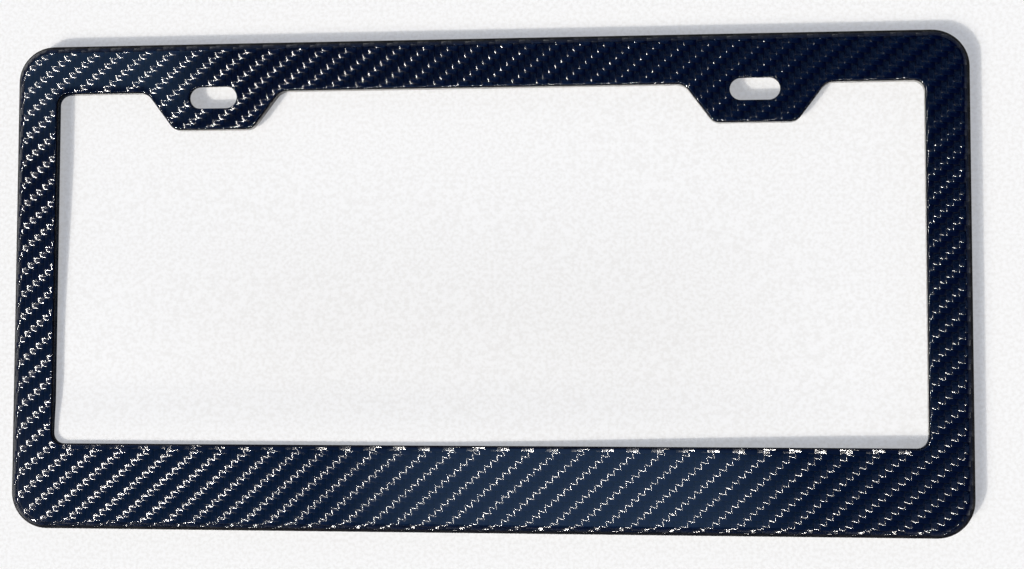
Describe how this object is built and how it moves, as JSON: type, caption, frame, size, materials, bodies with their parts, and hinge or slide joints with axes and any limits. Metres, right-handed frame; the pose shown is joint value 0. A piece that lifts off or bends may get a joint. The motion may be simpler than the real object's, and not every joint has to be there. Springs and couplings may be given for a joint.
{
  "type": "number plate holder",
  "caption": "One-piece moulded carbon-fibre number plate frame with rolled edges, a wide lower bar, and slotted screw tabs on its top bar.",
  "frame": {"origin": "middle of the frame's width and height, in the plane of the rim's back edge", "axes": "+X along the frame to its right seen from the front, +Y towards the top edge with the screw tabs, +Z out of the front face"},
  "size_m": [0.313, 0.161, 0.008],
  "materials": {
    "carbon_gloss": "twill carbon fibre under a high-gloss clear coat"
  },
  "bodies": {
    "root": {"plate_frame": "carbon_gloss"}
  },
  "joints": []
}
